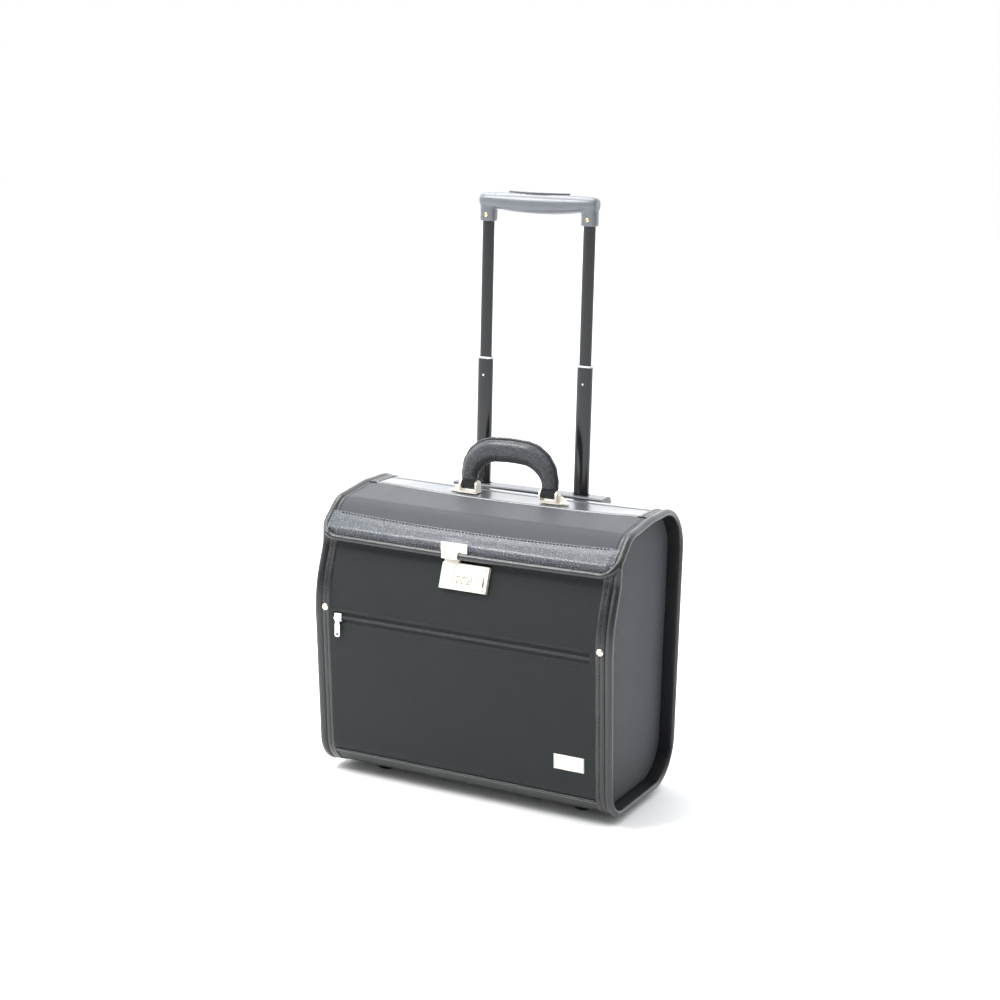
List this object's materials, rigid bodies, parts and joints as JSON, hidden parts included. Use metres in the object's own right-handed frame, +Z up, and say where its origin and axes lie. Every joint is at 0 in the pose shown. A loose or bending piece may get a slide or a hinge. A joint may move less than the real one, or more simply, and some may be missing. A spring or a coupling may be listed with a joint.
{
  "type": "pilot rolling flight case",
  "caption": "Wheeled flight case with a hinged front lid, combination lock, folding carry handle, zipped front pocket and two-stage trolley handle.",
  "frame": {"origin": "centre of the footprint, on the floor", "axes": "X across the width, -Y the front with the lock, +Z up"},
  "size_m": [0.46, 0.246, 0.8335],
  "materials": {
    "front_cloth": "woven ballistic nylon, dark grey-green",
    "side_cloth": "woven nylon with a blue-grey cast",
    "top_cloth": "fine-grained coated cloth, satin",
    "band_leather": "grained leather, satin sheen",
    "rim_leather": "bound leather edge with stitching",
    "handle_leather": "padded grained leather",
    "lining_cloth": "plain woven lining",
    "bare_steel": "satin",
    "black_plastic": "moulded, fine texture",
    "black_anodised": "gloss black anodised",
    "collar_plastic": "moulded",
    "wheel_plastic": "moulded",
    "tyre_rubber": "matt",
    "warm_nickel": "polished warm nickel",
    "dial_metal": "satin",
    "lever_plastic": "moulded",
    "zip_cloth": "zip tape",
    "zip_plastic": "moulded coil",
    "zip_metal": "bright plated",
    "label_plastic": "satin, blank",
    "grip_plastic": "satin moulded",
    "button_plastic": "satin moulded",
    "gold_metal": "plated"
  },
  "bodies": {
    "case": {"front_panel": "front_cloth", "bottom_band": "band_leather", "back_panel": "front_cloth", "top_strip": "top_cloth", "end_panel_left": "side_cloth", "end_panel_right": "side_cloth", "rim_left": "rim_leather", "rim_right": "rim_leather", "inner_board": "lining_cloth", "base_board": "lining_cloth", "mouth_bar": "bare_steel", "socket_plate": "black_plastic", "outer_tubes": "bare_steel", "trolley_foot": "black_plastic", "wheel_housing_left": "black_plastic", "wheel_housing_right": "black_plastic", "axle_left": "bare_steel", "axle_right": "bare_steel", "front_feet": "black_plastic", "foot_screws": "bare_steel", "handle_bracket_left": "warm_nickel", "handle_bracket_right": "warm_nickel", "handle_pins": "warm_nickel", "lock_case": "warm_nickel", "lock_back_plate": "bare_steel", "dial_axle": "bare_steel", "lock_rivets": "warm_nickel", "zip_tape": "zip_cloth", "zip_teeth": "zip_plastic", "pocket_rivets": "warm_nickel", "label_plate": "label_plastic"},
    "lid": {"lid_board": "top_cloth", "lid_band": "band_leather", "lid_rim_left": "rim_leather", "lid_rim_right": "rim_leather", "hasp_plate": "warm_nickel", "hasp_rivets": "warm_nickel"},
    "handle": {"handle_necks": "black_plastic", "carry_handle": "handle_leather"},
    "trolley_lower": {"lower_tubes": "black_anodised", "tube_collars": "collar_plastic", "tube_pins": "collar_plastic"},
    "trolley_upper": {"upper_tubes": "black_anodised", "grip": "grip_plastic", "grip_screws": "gold_metal"},
    "release": {"release_button": "button_plastic"},
    "latch": {"latch_slide": "warm_nickel"},
    "dial_a": {"dial_1": "dial_metal"},
    "dial_b": {"dial_2": "dial_metal"},
    "dial_c": {"dial_3": "dial_metal"},
    "reset": {"reset_lever": "lever_plastic"},
    "zip_runner": {"zip_slider": "zip_metal"},
    "zip_tag": {"zip_puller": "zip_metal"},
    "wheel_l": {"wheel_left": "wheel_plastic", "tyre_left": "tyre_rubber"},
    "wheel_r": {"wheel_right": "wheel_plastic", "tyre_right": "tyre_rubber"}
  },
  "joints": [
    {"name": "lid_hinge", "type": "hinge", "parent": "case", "child": "lid", "pos_m": [0, 0.00698, 0.4145], "axis": [-1, 0, 0], "range_deg": [0, 100]},
    {"name": "handle_pivot", "type": "hinge", "parent": "case", "child": "handle", "pos_m": [0, 0.02747, 0.42077], "axis": [-1, 0, 0], "range_deg": [-84, 45]},
    {"name": "trolley_lower_slide", "type": "slide", "parent": "case", "child": "trolley_lower", "axis": [0, 0, 1], "range_m": [-0.176, 0]},
    {"name": "trolley_upper_slide", "type": "slide", "parent": "trolley_lower", "child": "trolley_upper", "axis": [0, 0, 1], "range_m": [-0.192, 0]},
    {"name": "button_press", "type": "slide", "parent": "trolley_upper", "child": "release", "axis": [0, 0, -1], "range_m": [0, 0.0035], "stiffness_N_per_m": 400},
    {"name": "latch_press", "type": "slide", "parent": "case", "child": "latch", "axis": [-1, 0, 0], "range_m": [0, 0.004], "stiffness_N_per_m": 300},
    {"name": "dial_turn_1", "type": "hinge", "parent": "case", "child": "dial_a", "pos_m": [-0.0036, -0.10586, 0.31852], "axis": [1, 0, 0], "continuous": true},
    {"name": "dial_turn_2", "type": "hinge", "parent": "case", "child": "dial_b", "pos_m": [0.0047, -0.10586, 0.31852], "axis": [1, 0, 0], "continuous": true},
    {"name": "dial_turn_3", "type": "hinge", "parent": "case", "child": "dial_c", "pos_m": [0.013, -0.10586, 0.31852], "axis": [1, 0, 0], "continuous": true},
    {"name": "reset_shift", "type": "slide", "parent": "case", "child": "reset", "axis": [0, 0.32, 0.9474], "range_m": [0, 0.004]},
    {"name": "zip_run", "type": "slide", "parent": "case", "child": "zip_runner", "axis": [1, 0, 0], "range_m": [0, 0.381]},
    {"name": "zip_tag_swing", "type": "hinge", "parent": "zip_runner", "child": "zip_tag", "pos_m": [-0.1905, -0.1218, 0.241], "axis": [-1, 0, 0], "range_deg": [0, 150]},
    {"name": "wheel_turn_left", "type": "hinge", "parent": "case", "child": "wheel_l", "pos_m": [-0.189, 0.09098, 0.026], "axis": [1, 0, 0], "continuous": true},
    {"name": "wheel_turn_right", "type": "hinge", "parent": "case", "child": "wheel_r", "pos_m": [0.189, 0.09098, 0.026], "axis": [1, 0, 0], "continuous": true}
  ]
}
